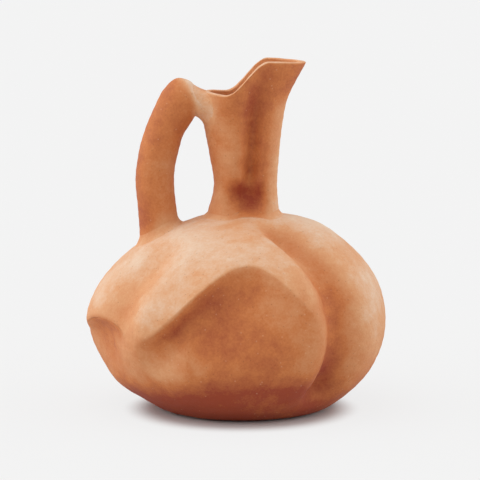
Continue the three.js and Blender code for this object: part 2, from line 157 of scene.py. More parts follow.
def dome_crown(radius, inset=0):
    """Height of the dome as it was turned, before it was folded."""
    share = radius / (BELLY_RADIUS - inset)
    return BELLY_CENTRE + (DOME_RISE - inset) * math.sqrt(1 - share * share)


FOOT_LATITUDE = latitude_of(bowl_radius(0, 0), 0)
FLOOR_LATITUDE = latitude_of(bowl_radius(FLOOR_THICKNESS, BELLY_WALL), FLOOR_THICKNESS)


def folded_in(azimuth, latitude, inset):
    """How far the hands pushed the wall in, with the fold rounded over a little way up and down."""
    widened = math.degrees(inset / BELLY_RADIUS)
    pushed = 0
    for step in range(-FOLD_STEPS, FOLD_STEPS + 1):
        weight = (FOLD_STEPS + 1 - abs(step)) / (FOLD_STEPS + 1) ** 2
        near = latitude + step * FOLD_ROUND
        for marks, push in [(DENTS, dent_push), (LOBES, lobe_push), (GROOVES, groove_push)]:
            for mark in marks:
                pushed = pushed + weight * push(mark, azimuth, near, widened)
    return pushed * smoothstep(latitude, FLOOR_LATITUDE, FLOOR_LATITUDE + FOOT_FADE)


def belly_at(azimuth, latitude, inset):
    lean, turn = np.radians(latitude), np.radians(azimuth)
    across = BELLY_RADIUS - inset
    half = np.where(latitude > 0, DOME_RISE, BOWL_DROP) - inset
    ellipse = across * half / np.hypot(half * np.cos(lean), across * np.sin(lean))
    radius = ellipse - folded_in(azimuth, latitude, inset)
    out = radius * np.cos(lean)
    return np.stack([out * np.sin(turn), -out * np.cos(turn), BELLY_CENTRE + radius * np.sin(lean)], -1)


ROWS_GATHER_BELOW = 1.5
ROWS_GATHER_ABOVE = 1.2


def belly_latitudes(azimuth, foot, top, rows_below, rows_above):
    """Latitudes of the rows of one face, gathered towards the fold that runs round it."""
    below = -np.linspace(1, 0, rows_below, endpoint=False) ** ROWS_GATHER_BELOW
    above = np.linspace(0, 1, rows_above + 1) ** ROWS_GATHER_ABOVE
    share = np.concatenate([below, above])[:, None]
    fold = fold_latitude(azimuth)[None, :]
    return np.where(share < 0, fold + share * (fold - foot), fold + share * (top - fold))


def ring(azimuth, radius, height):
    turn = np.radians(azimuth)
    return np.stack([radius * np.sin(turn), -radius * np.cos(turn), height + 0 * turn], -1)


def facing(grid, loop):
    """Outward directions over a grid of rows and columns."""
    along = np.roll(grid, -1, 1) - np.roll(grid, 1, 1)
    up = np.roll(grid, -1, 0) - np.roll(grid, 1, 0) if loop else np.gradient(grid, axis=0)
    normal = np.cross(along, up)
    return normal / np.maximum(np.linalg.norm(normal, axis=-1, keepdims=True), 1e-9)


def uneven(points, size):
    """Smooth chance unevenness over a surface, from 0 to 1, in patches of about this size."""
    felt = [noise.noise(Vector(place)) for place in points.reshape(-1, 3) / size]
    return np.clip(0.5 + 0.5 * np.array(felt), 0, 1).reshape(points.shape[:-1])


DAB_DEPTH = 0.45
DAB_SIZE = 13
SMALL_DAB_DEPTH = 0.2
SMALL_DAB_SIZE = 5
WHEEL_RING_DEPTH = 0.05
WHEEL_RING_PITCH = 4.6
WHEEL_RING_SWAY = 5
WHEEL_SWAY_SIZE = 40


def worked(grid, loop):
    """The wall as hands and a wooden rib leave it: shallow dabs, and faint rings from the wheel."""
    dabs = DAB_DEPTH * uneven(grid, DAB_SIZE) + SMALL_DAB_DEPTH * uneven(grid, SMALL_DAB_SIZE)
    sway = WHEEL_RING_SWAY * uneven(grid, WHEEL_SWAY_SIZE)
    rings = WHEEL_RING_DEPTH * (1 + np.sin(2 * math.pi * grid[..., 2] / WHEEL_RING_PITCH + sway))
    return grid - facing(grid, loop) * (dabs + rings)[..., None]


# Painted top light makes upward faces paler. The red given darkens the skin, and it carries painted shade
# wherever it is set so.
SKIN_PALE = 0.43
PAINTED_TOP_LIGHT = 0.37
SKIN_RED_AND_SHADE = 0.4


def paleness_with_painted_top_light(grid, loop, red_and_shade):
    """How pale the skin is, from 0 to 1: painted top light makes it paler where it faces up, and the red
    given darkens it.
    """
    upward = facing(grid, loop)[..., 2]
    return np.clip(SKIN_PALE + PAINTED_TOP_LIGHT * upward - SKIN_RED_AND_SHADE * red_and_shade, 0, 1)


def clay_piece(name, grid, pale, loop):
    """A mesh over rows and columns of points. Rows that don't loop are closed at both ends."""
    rows, columns = grid.shape[:2]
    number = np.arange(rows * columns).reshape(rows, columns)
    lower = number if loop else number[:-1]
    upper = np.roll(number, -1, 0)[: len(lower)]
    quads = np.stack([lower, np.roll(lower, -1, 1), np.roll(upper, -1, 1), upper], -1)
    faces = quads.reshape(-1, 4).tolist()
    if not loop:
        faces += [number[0][::-1].tolist(), number[-1].tolist()]
    mesh = bpy.data.meshes.new(name)
    mesh.from_pydata((grid.reshape(-1, 3) * MM).tolist(), [], faces)
    mesh.shade_smooth()
    skin = mesh.attributes.new("pale_skin_and_painted_light", "FLOAT", "POINT")
    skin.data.foreach_set("value", pale.ravel().astype(np.float32))
    piece = bpy.data.objects.new(name, mesh)
    bpy.context.scene.collection.objects.link(piece)
    return piece


def add_node(tree, kind, sources, **settings):
    """A new node with its settings. Each socket named in sources is linked, or takes a plain value."""
    node = tree.nodes.new(kind)
    for setting, value in settings.items():
        setattr(node, setting, value)
    for socket, source in sources.items():
        if isinstance(source, bpy.types.NodeSocket):
            tree.links.new(source, node.inputs[socket])
        else:
            node.inputs[socket].default_value = source
    return node


def reckon(tree, operation, *sources):
    return add_node(tree, "ShaderNodeMath", dict(enumerate(sources)), operation=operation).outputs["Value"]


# Clouds in the clay's colour, from the broadest to the finest, and how far each one moves the tone
CLAY_CLOUDS = [
    {"scale": 26, "detail": 4, "swing": 0.16},
    {"scale": 140, "detail": 5, "swing": 0.08},
    {"scale": 900, "detail": 6, "swing": 0.06},
]
CLOUD_ROUGHNESS = 0.62
CLOUD_LOW = 0.3
CLOUD_HIGH = 0.7
IRON_FLECKS = {"scale": 330, "size": 0.13, "strength": 0.35, "colour": (0.22, 0.07, 0.03)}
GROG_FLECKS = {"scale": 210, "size": 0.11, "strength": 0.25, "colour": (0.72, 0.48, 0.30)}
CLAY_SPECULAR = 0.35
ROUGHNESS_SWING = 0.08
PINHOLE_MIDDLE = 0.05
PINHOLE_EDGE = 0.2
PINHOLE_DEPTH = 0.35
GRAIN_STRENGTH = 0.35
GRAIN_HEIGHT = 0.0005


def fired_earthenware(name, tones, roughness):
    """Unglazed fired clay: clouded tones from deep to pale, iron and grog flecks, grain and pinholes."""
    material = bpy.data.materials.new(name)
    material.use_nodes = True
    tree = material.node_tree
    shader = tree.nodes["Principled BSDF"]
    shader.inputs["Specular IOR Level"].default_value = CLAY_SPECULAR
    place = add_node(tree, "ShaderNodeTexCoord", {}).outputs["Object"]

    def spread(source, low, high, to_low, to_high):
        limits = {"From Min": low, "From Max": high, "To Min": to_low, "To Max": to_high}
        return add_node(tree, "ShaderNodeMapRange", {"Value": source, **limits}).outputs["Result"]

    def from_fleck(flecks):
        cells = {"Vector": place, "Scale": flecks["scale"]}
        return add_node(tree, "ShaderNodeTexVoronoi", cells).outputs["Distance"]

    def flecked(base, flecks, distance):
        share = spread(distance, flecks["size"] / 2, flecks["size"], flecks["strength"], 0)
        mix = {"Factor": share, 6: base, 7: (*flecks["colour"], 1)}
        return add_node(tree, "ShaderNodeMix", mix, data_type="RGBA").outputs[2]

    tone = add_node(tree, "ShaderNodeAttribute", {}, attribute_name="pale_skin_and_painted_light").outputs["Fac"]
    clouds = []
    for cloud in CLAY_CLOUDS:
        texture = {"Scale": cloud["scale"], "Detail": cloud["detail"], "Roughness": CLOUD_ROUGHNESS}
        clouds.append(add_node(tree, "ShaderNodeTexNoise", {"Vector": place, **texture}).outputs["Fac"])
        moved = spread(clouds[-1], CLOUD_LOW, CLOUD_HIGH, -cloud["swing"], cloud["swing"])
        tone = reckon(tree, "ADD", tone, moved)
    _, mottle, grain = clouds
    ramp = add_node(tree, "ShaderNodeValToRGB", {"Fac": tone})
    ramp.color_ramp.elements[0].color = (*tones[0], 1)
    ramp.color_ramp.elements[1].color = (*tones[-1], 1)
    for step, colour in enumerate(tones[1:-1], start=1):
        ramp.color_ramp.elements.new(step / (len(tones) - 1)).color = (*colour, 1)

    from_iron = from_fleck(IRON_FLECKS)
    skin_colour = flecked(ramp.outputs["Color"], IRON_FLECKS, from_iron)
    skin_colour = flecked(skin_colour, GROG_FLECKS, from_fleck(GROG_FLECKS))
    tree.links.new(skin_colour, shader.inputs["Base Color"])
    smoothest, roughest = roughness - ROUGHNESS_SWING, roughness + ROUGHNESS_SWING
    tree.links.new(spread(mottle, CLOUD_LOW, CLOUD_HIGH, smoothest, roughest), shader.inputs["Roughness"])

    pinholes = spread(from_iron, PINHOLE_MIDDLE, PINHOLE_EDGE, 0, PINHOLE_DEPTH)
    height = reckon(tree, "ADD", reckon(tree, "ADD", grain, mottle), pinholes)
    relief = {"Height": height, "Strength": GRAIN_STRENGTH, "Distance": GRAIN_HEIGHT}
    bump = add_node(tree, "ShaderNodeBump", relief)
    tree.links.new(bump.outputs["Normal"], shader.inputs["Normal"])
    return material


BELLY_COLUMNS = 360
OUTSIDE_ROWS = (76, 64)
INSIDE_ROWS = (30, 24)
azimuths = np.linspace(-180, 180, BELLY_COLUMNS, endpoint=False)
hole_outside = latitude_of(NECK_BORE, dome_crown(NECK_BORE))
hole_inside = latitude_of(NECK_BORE, dome_crown(NECK_BORE, BELLY_WALL))
outside_rows = belly_latitudes(azimuths, FOOT_LATITUDE, hole_outside, *OUTSIDE_ROWS)
inside_rows = belly_latitudes(azimuths, FLOOR_LATITUDE, hole_inside, *INSIDE_ROWS)[::-1]
outside = belly_at(azimuths, outside_rows, 0)
inside = belly_at(azimuths, inside_rows, BELLY_WALL)
socket = [ring(azimuths, FLOOR_RADIUS + SEAM, height)[None] for height in (FLOOR_THICKNESS, 0)]

# The foot's outer edge is rounded, where it was wiped with a sponge.
low = np.clip(1 - outside[..., 2] / FOOT_ROUND, 0, 1)
wiped = FOOT_ROUND * (1 - np.sqrt(1 - low * low))
outside[..., :2] *= (1 - wiped / np.hypot(outside[..., 0], outside[..., 1]))[..., None]

# The fire left the inside an even red. Outside, painted shade reddens the dents and a band round the
# foot, which stands highest at the front, and painted light makes the right-hand side paler.
INSIDE_RED = 0.3
# Painted shade reddens the dents, fully at this depth; painted light pales the proud lobes, up to this
# much.
FULL_SHADE_DEPTH = 12
BRIGHTEST_LOBE_LIGHT = -0.3
# Painted light on the right-hand side, strongest round the widest ring.
RIGHT_PAINTED_LIGHT = 0.7
RIGHT_LIGHT_ROUND = 1.5
RIGHT_LIGHT_WAIST = 6
# Painted shade round the foot: a red band with a wandering edge, highest at the front.
FOOT_SHADE = 1.2
FOOT_SHADE_EDGE = 5
FOOT_SHADE_FADE_ABOVE = 19
FOOT_SHADE_FADE_BELOW = 13
FOOT_SHADE_CREST = 12
FOOT_SHADE_CREST_AZIMUTH = 9
FOOT_SHADE_CREST_WIDTH = 36
FOOT_SHADE_WANDER = 8
FOOT_SHADE_WANDER_SIZE = 24
# Patches on the skin, paler where red is below 0 and redder where it is above. The first is a painted
# highlight on the upper left shoulder; the red ones in the valley between the left lobes and down the
# right-hand groove are painted shade.
TONE_LIGHT_AND_SHADE_CLOUDS = [
    {"azimuth": -47, "latitude": 34, "wide": 31, "tall": 25, "red": -0.58},
    {"azimuth": -14, "latitude": 30, "wide": 14, "tall": 8, "red": 0.15},
    {"azimuth": 20, "latitude": 46, "wide": 14, "tall": 12, "red": -0.22},
    {"azimuth": -50, "latitude": 9, "wide": 12, "tall": 10, "red": 0.2},
    {"azimuth": -28, "latitude": -18, "wide": 40, "tall": 9, "red": -0.36},
    {"azimuth": 46, "latitude": 8, "wide": 9, "tall": 28, "red": 0.18},
    {"azimuth": 76, "latitude": 27, "wide": 20, "tall": 12, "red": 0.2},
    {"azimuth": 78, "latitude": -24, "wide": 16, "tall": 10, "red": 0.1},
]
# Painted light: the right-hand side is made paler, most of all round the widest ring.
right_painted_light = np.maximum(np.sin(np.radians(azimuths)), 0) ** RIGHT_LIGHT_ROUND
right_painted_light = right_painted_light * np.cos(np.radians(outside_rows)) ** RIGHT_LIGHT_WAIST
# Painted shade over the lower wall, up to an edge that rises towards the front.
foot_shade_crest = FOOT_SHADE_CREST * np.exp(-(((azimuths - FOOT_SHADE_CREST_AZIMUTH) / FOOT_SHADE_CREST_WIDTH) ** 2))
foot_shade_wander = FOOT_SHADE_WANDER * (uneven(outside, FOOT_SHADE_WANDER_SIZE) - 0.5)
under_foot_shade_edge = FOOT_SHADE_EDGE + foot_shade_crest + foot_shade_wander - outside[..., 2]
# Painted shade: redder as the wall is pushed further in. Painted light: paler where a lobe stands proud.
outside_tone_light_and_shade = np.clip(folded_in(azimuths, outside_rows, 0) / FULL_SHADE_DEPTH, BRIGHTEST_LOBE_LIGHT, 1)
outside_tone_light_and_shade += FOOT_SHADE * smoothstep(under_foot_shade_edge, -FOOT_SHADE_FADE_ABOVE, FOOT_SHADE_FADE_BELOW)
outside_tone_light_and_shade -= RIGHT_PAINTED_LIGHT * right_painted_light
# Painted highlight, painted shade and tone from the patches above.
for cloud in TONE_LIGHT_AND_SHADE_CLOUDS:
    outside_tone_light_and_shade += cloud["red"] * blot(cloud, azimuths, outside_rows)

belly_grid = np.concatenate([outside, inside, *socket])
belly_red_and_shade = np.full(belly_grid.shape[:2], INSIDE_RED)
belly_red_and_shade[: len(outside)] = outside_tone_light_and_shade
belly_skin = worked(belly_grid, True)
belly_skin[..., 2] = np.maximum(belly_skin[..., 2], 0)
belly = clay_piece("folded_belly", belly_skin, paleness_with_painted_top_light(belly_grid, True, belly_red_and_shade), True)
ORANGE_TONES = [(0.32, 0.053, 0.018), (0.56, 0.18, 0.052), (0.66, 0.32, 0.15), (0.73, 0.545, 0.40)]
ORANGE_ROUGHNESS = 0.72
orange_clay = fired_earthenware("orange_earthenware", ORANGE_TONES, ORANGE_ROUGHNESS)
belly.data.materials.append(orange_clay)
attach(belly, "root")
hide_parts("belly")

# Floor: a slab of the same clay rolled flat, cut round and pressed into the belly's open bottom.
# It burned redder, where the pot stood on the kiln shelf, and keeps the spiral of the cutting wire.
FLOOR_COLUMNS = 180
FLOOR_UNDER_ROWS = 56
FLOOR_EDGE_ROWS = 6
FLOOR_TOP_ROWS = 40
FLOOR_MIDDLE = 1
FLOOR_EDGE = 1.2
FLOOR_EDGE_FROM = 15
FLOOR_RED = 0.35
WIRE_PITCH = 5
WIRE_DEPTH = 0.35
WIRE_FROM = 8
WIRE_FADE = 12
WIRE_END = 6
turns = np.linspace(-180, 180, FLOOR_COLUMNS, endpoint=False)
floor_rows = []
for radius in np.linspace(FLOOR_MIDDLE, FLOOR_RADIUS - FLOOR_EDGE, FLOOR_UNDER_ROWS):
    marks = WIRE_DEPTH / 2 * (1 + np.sin(2 * math.pi * (radius / WIRE_PITCH + turns / 360)))
    marks = marks * smoothstep(radius, FLOOR_MIDDLE, WIRE_FROM)
    marks = marks * (1 - smoothstep(radius, FLOOR_RADIUS - WIRE_FADE, FLOOR_RADIUS - WIRE_END))
    floor_rows.append(ring(turns, radius, marks))
for corner in np.radians(np.linspace(FLOOR_EDGE_FROM, 90, FLOOR_EDGE_ROWS)):
    radius = FLOOR_RADIUS - FLOOR_EDGE * (1 - math.sin(corner))
    floor_rows.append(ring(turns, radius, FLOOR_EDGE * (1 - math.cos(corner))))
for radius in np.linspace(FLOOR_RADIUS, FLOOR_MIDDLE, FLOOR_TOP_ROWS):
    floor_rows.append(ring(turns, radius, FLOOR_THICKNESS))
floor_grid = np.stack(floor_rows)
floor_pale = paleness_with_painted_top_light(floor_grid, False, FLOOR_RED)
floor_disc = clay_piece("slab_floor", floor_grid, floor_pale, False)
RED_TONES = [(0.22, 0.045, 0.016), (0.42, 0.115, 0.036), (0.54, 0.20, 0.08), (0.62, 0.34, 0.18)]
RED_ROUGHNESS = 0.78
red_clay = fired_earthenware("red_earthenware", RED_TONES, RED_ROUGHNESS)
floor_disc.data.materials.append(red_clay)
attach(floor_disc, "root")
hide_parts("floor_disc")

# Floor luting coil: a rope of soft clay laid inside over the joint of floor and wall, and pressed
# down with the fingertip, which leaves a scallop at each press. It shows only through the mouth.
FLOOR_COIL_WIDTH = 11
FLOOR_COIL_HEIGHT = 4.5
FLOOR_COIL_ROWS = 17
FLOOR_COIL_RED = 0.3
PRESSES = 26
PRESS_DEPTH = 0.8
coil_rows = []
for arc in np.linspace(0, math.pi, FLOOR_COIL_ROWS):
    pressed = PRESS_DEPTH * math.sin(arc) * np.abs(np.sin(np.radians(turns) * PRESSES / 2))
    radius = FLOOR_RADIUS + FLOOR_COIL_WIDTH / 2 * math.cos(arc)
    height = FLOOR_THICKNESS + SEAM + FLOOR_COIL_HEIGHT * math.sin(arc) - pressed
    coil_rows.append(ring(turns, radius, height))
floor_coil_grid = np.stack(coil_rows)
floor_coil_pale = paleness_with_painted_top_light(floor_coil_grid, True, FLOOR_COIL_RED)
floor_coil = clay_piece("floor_luting_coil_pressed", floor_coil_grid, floor_coil_pale, True)
floor_coil.data.materials.append(red_clay)
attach(floor_coil, "root")
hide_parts("floor_luting_coil")

# Neck and spout: a second turned piece, set over the hole in the dome. The potter pulled its front
# up into a beak and pinched a valley into both sides below it, with a thumb print where each ends.
NECK_HEIGHT = 64
NECK_WALL = 4
NECK_FOOT_RADIUS = 19.5
NECK_WAIST_RADIUS = 15.8
NECK_MIDDLE_RADIUS = 18.1
CHEEK_REACH = 20.9
CHEEK_HALF_WIDTH = 18.5
CHEEK_RISE = 1
RIM_HALF_WIDTH = 22.5
RIM_CROWN = 1.2
SPOUT_WAIST = 18.5
SPOUT_MIDDLE = 20.1
SPOUT_THROAT = 23.2
SPOUT_REACH = 33.4
SPOUT_RISE = 17.4
SPOUT_FROM = -10
SPOUT_TO = 14
BEAK_DROOP = 0.8
PINCH_DEPTH = 8
PINCH_EDGE = 12
PINCH_SPREAD = 15
PINCH_FOOT = 8
PINCH_RIM = 18
PINCH_RUN_IN = 0.32
PINCH_EASE = 0.75
PINCH_EASE_FROM = 0.5
THUMB_DEPTH = 9
FINGER_DEPTH = 5.5
THUMB_RADIUS = 10
THUMB_HEIGHT = 7.5
THUMB_ROUND = 1.3
NECK_FOOT = dome_crown(NECK_FOOT_RADIUS)
RIM = NECK_FOOT + NECK_HEIGHT


def curve_through(points, share):
    """Places on a smooth curve through the points, where share runs from 0 to 1 over its spans."""
    points = np.array(points, float)
    ends = [2 * points[0] - points[1], 2 * points[-1] - points[-2]]
    points = np.concatenate([ends[:1], points, ends[1:]])
    along = np.clip(share, 0, 1) * (len(points) - 3)
    span = np.minimum(along.astype(int), len(points) - 4)
    t = (along - span)[..., None]
    p0, p1, p2, p3 = (points[span + step] for step in range(4))
    gaps = [p1 - p0, p2 - p1, p3 - p2]
    d0, d1, d2 = (np.linalg.norm(gap, axis=-1, keepdims=True) ** 0.5 for gap in gaps)
    leave = (p1 - p0) / d0 - (p2 - p0) / (d0 + d1) + (p2 - p1) / d1
    arrive = (p2 - p1) / d1 - (p3 - p1) / (d1 + d2) + (p3 - p2) / d2
    leave, arrive = leave * d1, arrive * d1
    cubic = 2 * p1 - 2 * p2 + leave + arrive
    square = -3 * p1 + 3 * p2 - 2 * leave - arrive
    return ((cubic * t + square) * t + leave) * t + p1


# Reaches of the neck towards the handle, towards the spout and to the sides, from dome to rim
NECK_OUTLINE = [
    (NECK_FOOT_RADIUS, NECK_FOOT_RADIUS, NECK_FOOT_RADIUS),
    (NECK_WAIST_RADIUS, SPOUT_WAIST, NECK_WAIST_RADIUS),
    (NECK_MIDDLE_RADIUS, SPOUT_MIDDLE, NECK_MIDDLE_RADIUS),
    (CHEEK_REACH, SPOUT_THROAT, CHEEK_HALF_WIDTH),
    (CHEEK_REACH, SPOUT_REACH, RIM_HALF_WIDTH),
]


def facing_front(azimuth):
    """The two sides of the neck match, so a place at the back takes the shape of its mirror."""
    return np.where(azimuth > 90, 180 - azimuth, np.where(azimuth < -90, -180 - azimuth, azimuth))


def rim_height(front):
    x = np.where(front > 0, SPOUT_REACH, CHEEK_REACH) * np.sin(np.radians(front))
    climb = SPOUT_RISE * smoothstep(x, SPOUT_FROM, SPOUT_TO)
    cheek = CHEEK_RISE * smoothstep(-x, -SPOUT_FROM, CHEEK_REACH)
    return RIM + climb + cheek - BEAK_DROOP * smoothstep(x, SPOUT_TO, SPOUT_REACH)


def pressed_in(azimuth, share, inset):
    """How far thumb and fingers pushed the neck's side in."""
    front = facing_front(azimuth)
    half_width = curve_through(NECK_OUTLINE, share)[..., 2]
    valley = PINCH_FOOT + (PINCH_RIM - PINCH_FOOT) * share
    spread = np.where(front < valley, PINCH_EDGE, PINCH_SPREAD) + np.degrees(inset / half_width)
    across = (front - valley) / spread
    eased = smoothstep(share, 0, PINCH_RUN_IN) * (1 - PINCH_EASE * smoothstep(share, PINCH_EASE_FROM, 1))
    pinch = PINCH_DEPTH * eased * np.exp(-across * across)
    aside = np.radians(front - PINCH_FOOT) * half_width
    above = (rim_height(front) - NECK_FOOT) * share - THUMB_HEIGHT
    press = np.where(np.abs(azimuth) > 90, FINGER_DEPTH, THUMB_DEPTH)
    print_reach = (aside * aside + above * above) / (THUMB_RADIUS + inset) ** 2
    return np.hypot(pinch, press * np.exp(-(print_reach**THUMB_ROUND)))


def neck_at(azimuth, share, inset):
    azimuth, share = np.broadcast_arrays(azimuth, share)
    front = facing_front(azimuth)
    turn = np.radians(front)
    to_handle, to_spout, half_width = np.moveaxis(curve_through(NECK_OUTLINE, share), -1, 0)
    x = (np.where(front > 0, to_spout, to_handle) - inset) * np.sin(turn)
    y = (half_width - inset - pressed_in(azimuth, share, inset)) * np.cos(turn)
    z = NECK_FOOT + (rim_height(front) - NECK_FOOT) * share
    return np.stack([x, np.where(np.abs(azimuth) > 90, y, -y), z], -1)


DOME_LATITUDES = np.linspace(12, 89, 90)


def dome_height(x, y):
    """Height of the folded dome under a place."""
    wall = belly_at(np.degrees(np.arctan2(x, -y))[..., None], DOME_LATITUDES, 0)
    reach = np.hypot(wall[..., 0], wall[..., 1])
    wanted = np.hypot(x, y)[..., None]
    after = np.clip((reach > wanted).sum(-1, keepdims=True), 1, len(DOME_LATITUDES) - 1)
    far, near = (np.take_along_axis(reach, row, -1) for row in (after - 1, after))
    low, high = (np.take_along_axis(wall[..., 2], row, -1) for row in (after - 1, after))
    return (low + (high - low) * (far - wanted) / (far - near))[..., 0]


def first_clear(clearance, steps):
    """The step at which each column first comes clear of what it is trimmed to."""
    after = np.clip(np.argmax(clearance > 0, axis=0), 1, len(steps) - 1)
    columns = np.arange(clearance.shape[1])
    buried, clear = clearance[after - 1, columns], clearance[after, columns]
    return steps[after - 1] + (steps[after] - steps[after - 1]) * buried / (buried - clear)


SEAT_SHARES = np.linspace(-0.15, 0.25, 60)


def neck_seat(azimuth, inset):
    """Share at which the neck's face comes out of the dome."""
    wall = neck_at(azimuth[None, :], SEAT_SHARES[:, None], inset)
    return first_clear(wall[..., 2] - dome_height(wall[..., 0], wall[..., 1]), SEAT_SHARES)


# Painted shade in the pinched valley and in the thumb print at its foot.
VALLEY_FOOT = 4
VALLEY_RIM = 9
VALLEY_HALF_WIDTH = 8
VALLEY_SHADE = 0.55
VALLEY_FADE = 0.6
VALLEY_FADE_FROM = 0.75
VALLEY_FADE_TO = 1.1
PRINT_MIDDLE = 3.4
PRINT_HEIGHT = 7.4
PRINT_REACH = 10
PRINT_SHADE = 1.2


def pinch_shade(place):
    """Painted shade where fingers pressed the neck: down the long valley, and in the round thumb print."""
    x, _, z = np.moveaxis(place, -1, 0)
    rise = (z - NECK_FOOT) / NECK_HEIGHT
    across = (x - VALLEY_FOOT - (VALLEY_RIM - VALLEY_FOOT) * rise) / VALLEY_HALF_WIDTH
    fade = 1 - VALLEY_FADE * smoothstep(rise, VALLEY_FADE_FROM, VALLEY_FADE_TO)
    valley = VALLEY_SHADE * np.exp(-(across**4)) * fade
    print_reach = np.hypot(x - PRINT_MIDDLE, z - NECK_FOOT - PRINT_HEIGHT) / PRINT_REACH
    return np.hypot(valley, PRINT_SHADE * np.exp(-(print_reach**2)))


# Painted light makes the spout's side paler up to the throat. Painted shade darkens the cheek towards
# its rim, and painted light makes it paler lower down and in a patch below the rim over the handle's joint.
SPOUT_PAINTED_LIGHT = 0.75
SPOUT_ROUND = 3
SPOUT_LIGHT_FADE = 0.8
SPOUT_LIGHT_FADE_FROM = 0.65
SPOUT_LIGHT_FADE_TO = 0.9
CHEEK_PAINTED_SHADE = 0.25
CHEEK_AZIMUTH = -25
CHEEK_SPREAD = 35
CHEEK_SHADE_FROM = 0.45
CHEEK_SHADE_TO = 0.7
CHEEK_PAINTED_LIGHT_BELOW = 0.4
JOINT_PAINTED_LIGHT = 0.8
JOINT_LIGHT_DROP = 7
JOINT_LIGHT_WIDE = 9
JOINT_LIGHT_TALL = 11


def neck_painted_light_and_shade(place, azimuth, share):
    """Painted light and shade on the neck: shade in the pinch and up the cheek, light on the spout and
    joint.
    """
    # Painted light on the spout's side, fading out near the rim.
    spout_fade = SPOUT_LIGHT_FADE * smoothstep(share, SPOUT_LIGHT_FADE_FROM, SPOUT_LIGHT_FADE_TO)
    lit_spout_side = np.maximum(np.sin(np.radians(azimuth)), 0) ** SPOUT_ROUND * (1 - spout_fade)
    # Painted shade on the cheek's upper part, painted light below it.
    cheek_side = np.exp(-(((facing_front(azimuth) - CHEEK_AZIMUTH) / CHEEK_SPREAD) ** 2))
    cheek = cheek_side * (smoothstep(share, CHEEK_SHADE_FROM, CHEEK_SHADE_TO) - CHEEK_PAINTED_LIGHT_BELOW)
    # Painted light in a patch below the rim over the handle's joint.
    x, _, z = np.moveaxis(place, -1, 0)
    joint_light = np.exp(-(((x + CHEEK_REACH) / JOINT_LIGHT_WIDE) ** 2) - ((z - RIM + JOINT_LIGHT_DROP) / JOINT_LIGHT_TALL) ** 2)
    return pinch_shade(place) - SPOUT_PAINTED_LIGHT * lit_spout_side + CHEEK_PAINTED_SHADE * cheek - JOINT_PAINTED_LIGHT * joint_light


NECK_COLUMNS = 240
NECK_OUTSIDE_ROWS = 90
NECK_INSIDE_ROWS = 60
LIP_STEPS = 11
NECK_EMBED = 0.012
neck_turns = np.linspace(-180, 180, NECK_COLUMNS, endpoint=False)
neck_rows = []
neck_light_and_shade = []
upward, downward = np.linspace(0, 1, NECK_OUTSIDE_ROWS), np.linspace(1, 0, NECK_INSIDE_ROWS)
for inset, shares in ((0, upward), (NECK_WALL, downward)):
    seat = neck_seat(neck_turns, inset) - NECK_EMBED
    share = seat + (1 - seat) * shares[:, None]
    neck_rows.append(neck_at(neck_turns, share, inset))
    neck_light_and_shade.append(neck_painted_light_and_shade(neck_rows[-1], neck_turns, share))
lip_rows = []
for arc in np.linspace(0, math.pi, LIP_STEPS)[1:-1]:
    lip = neck_at(neck_turns, np.ones(NECK_COLUMNS), NECK_WALL * (1 - math.cos(arc)) / 2)
    lip[:, 2] += RIM_CROWN * math.sin(arc)
    lip_rows.append(lip)
neck_grid = np.concatenate([neck_rows[0], np.stack(lip_rows), neck_rows[1]])
lip_red = np.zeros((len(lip_rows), NECK_COLUMNS))
neck_pale = paleness_with_painted_top_light(neck_grid, True, np.concatenate([neck_light_and_shade[0], lip_red, neck_light_and_shade[1]]))
neck = clay_piece("neck_and_spout", worked(neck_grid, True), neck_pale, True)
neck.data.materials.append(orange_clay)
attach(neck, "root")
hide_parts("neck")

# Neck luting coil: soft clay worked into the corner of neck and dome with a wet finger, until it
# runs out thin over both. Its skin is paler where it faces up, with painted top light, and darker
# where the thumb print's painted shade runs onto it.
NECK_COIL_SPREAD = 4
NECK_COIL_HEIGHT = 4
NECK_COIL_RUN_IN = 2.5
COVE_ROWS = 12
COVE_SINK = 0.45
COVE_BACK = 0.4


def cove(upper, corner, lower):
    """Rows of a hollow fillet that leaves one face and arrives on the other without a step, and
    that is closed by a row sunk in the corner."""
    t = np.linspace(0, 1, COVE_ROWS)[:, None, None]
    face = (1 - t) ** 2 * upper + 2 * t * (1 - t) * corner + t**2 * lower
    return face[::-1], corner + COVE_BACK * (corner - face[COVE_ROWS // 2])


seat = neck_seat(neck_turns, 0)
corner = neck_at(neck_turns, seat, 0)
upper = neck_at(neck_turns, seat + NECK_COIL_HEIGHT / NECK_HEIGHT, COVE_SINK)
stretch = 1 + NECK_COIL_SPREAD / np.hypot(corner[:, 0], corner[:, 1])
x, y = corner[:, 0] * stretch, corner[:, 1] * stretch
lower = np.stack([x, y, dome_height(x, y) - COVE_SINK], -1)
face, sunk = cove(upper, corner, lower)
run_in = np.minimum(NECK_COIL_RUN_IN * np.linspace(0, 1, COVE_ROWS)[:, None], 1)
# Painted shade from the thumb print runs onto the coil, fading out at its edge on the dome.
coil_pale = paleness_with_painted_top_light(face, False, run_in * pinch_shade(face))
neck_coil = clay_piece(
    "neck_luting_coil_smoothed",
    np.concatenate([worked(face, False), sunk[None]]),
    np.concatenate([coil_pale, coil_pale[:1]]),
    True,
)
neck_coil.data.materials.append(orange_clay)
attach(neck_coil, "root")
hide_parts("neck_luting_coil")

# Handle: an oval strap of clay pulled with wet hands, bent over while soft and set on at both ends.
# It leaves the neck just below the rim, rises to a round bend and comes straight down to the dome.
HANDLE_THICKNESS = 21.3
HANDLE_WIDTH = 23
HANDLE_REACH = 46.3
HANDLE_EMBED = 6
HANDLE_ROOT_EMBED = 17.1
HANDLE_FOOT_EMBED = 17.5
HANDLE_FOOT = dome_crown(HANDLE_REACH)
GRIP_REACH = HANDLE_REACH - CHEEK_REACH
